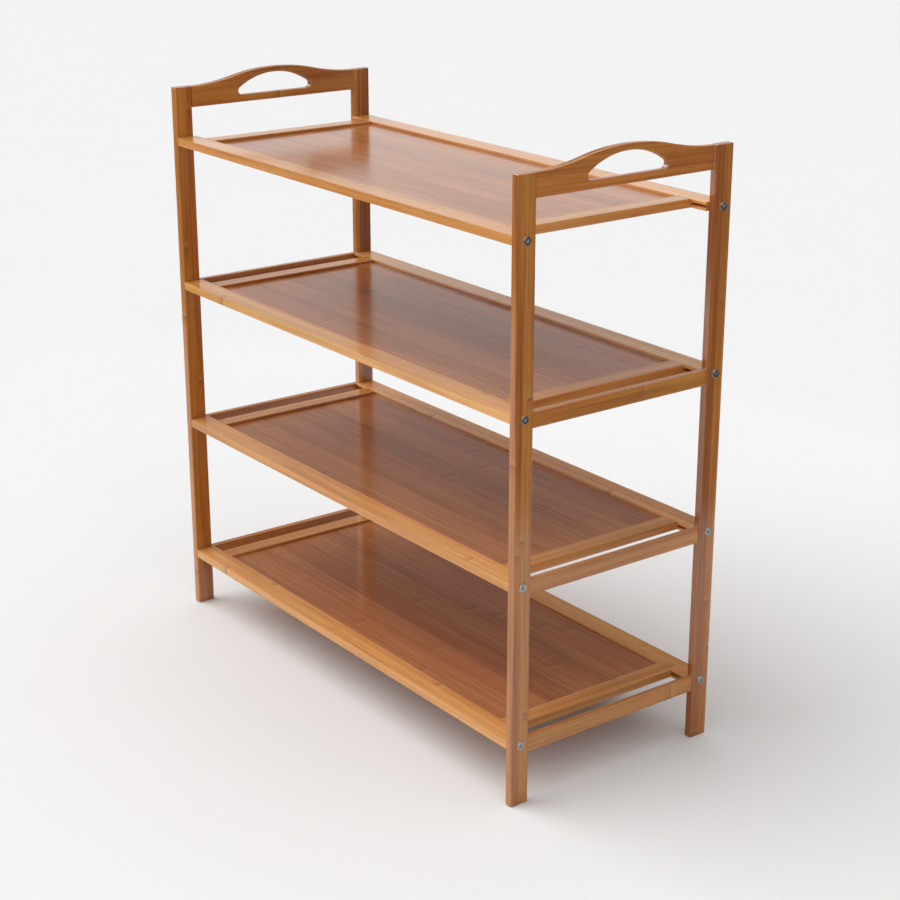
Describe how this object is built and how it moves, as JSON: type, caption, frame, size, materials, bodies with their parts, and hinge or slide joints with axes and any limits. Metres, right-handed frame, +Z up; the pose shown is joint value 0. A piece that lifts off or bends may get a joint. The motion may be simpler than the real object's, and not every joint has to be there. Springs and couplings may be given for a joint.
{
  "type": "tiered shoe rack",
  "caption": "Open bamboo shoe rack: framed flat shelves bolted between two end frames with curved top rails and finger slots.",
  "frame": {"origin": "on the floor, under the middle of the rack", "axes": "+X along the shelves to the right, +Y from front to back, +Z up"},
  "size_m": [0.7032, 0.295, 0.72],
  "materials": {
    "bamboo_upright": "satin lacquered bamboo, grain along the length",
    "bamboo_rail": "satin lacquered bamboo, grain along the length",
    "bamboo_panel": "satin lacquered laminated bamboo strips, running along the shelf",
    "dowel_wood": "plain beech dowel",
    "zinc_steel": "bright zinc plating"
  },
  "bodies": {
    "root": {"front_left_post": "bamboo_upright", "back_left_post": "bamboo_upright", "left_handle_rail": "bamboo_upright", "left_bolts": "zinc_steel", "left_barrel_nuts": "zinc_steel", "left_stretcher_dowels": "dowel_wood", "left_handle_dowels": "dowel_wood", "front_right_post": "bamboo_upright", "back_right_post": "bamboo_upright", "right_handle_rail": "bamboo_upright", "right_bolts": "zinc_steel", "right_barrel_nuts": "zinc_steel", "right_stretcher_dowels": "dowel_wood", "right_handle_dowels": "dowel_wood", "tier_1_front_rail": "bamboo_rail", "tier_1_back_rail": "bamboo_rail", "tier_1_left_cross_rail": "bamboo_rail", "tier_1_left_stretcher": "bamboo_upright", "tier_1_right_cross_rail": "bamboo_rail", "tier_1_right_stretcher": "bamboo_upright", "tier_1_panel": "bamboo_panel", "tier_2_front_rail": "bamboo_rail", "tier_2_back_rail": "bamboo_rail", "tier_2_left_cross_rail": "bamboo_rail", "tier_2_left_stretcher": "bamboo_upright", "tier_2_right_cross_rail": "bamboo_rail", "tier_2_right_stretcher": "bamboo_upright", "tier_2_panel": "bamboo_panel", "tier_3_front_rail": "bamboo_rail", "tier_3_back_rail": "bamboo_rail", "tier_3_left_cross_rail": "bamboo_rail", "tier_3_left_stretcher": "bamboo_upright", "tier_3_right_cross_rail": "bamboo_rail", "tier_3_right_stretcher": "bamboo_upright", "tier_3_panel": "bamboo_panel", "tier_4_front_rail": "bamboo_rail", "tier_4_back_rail": "bamboo_rail", "tier_4_left_cross_rail": "bamboo_rail", "tier_4_right_cross_rail": "bamboo_rail", "tier_4_panel": "bamboo_panel"}
  },
  "joints": []
}
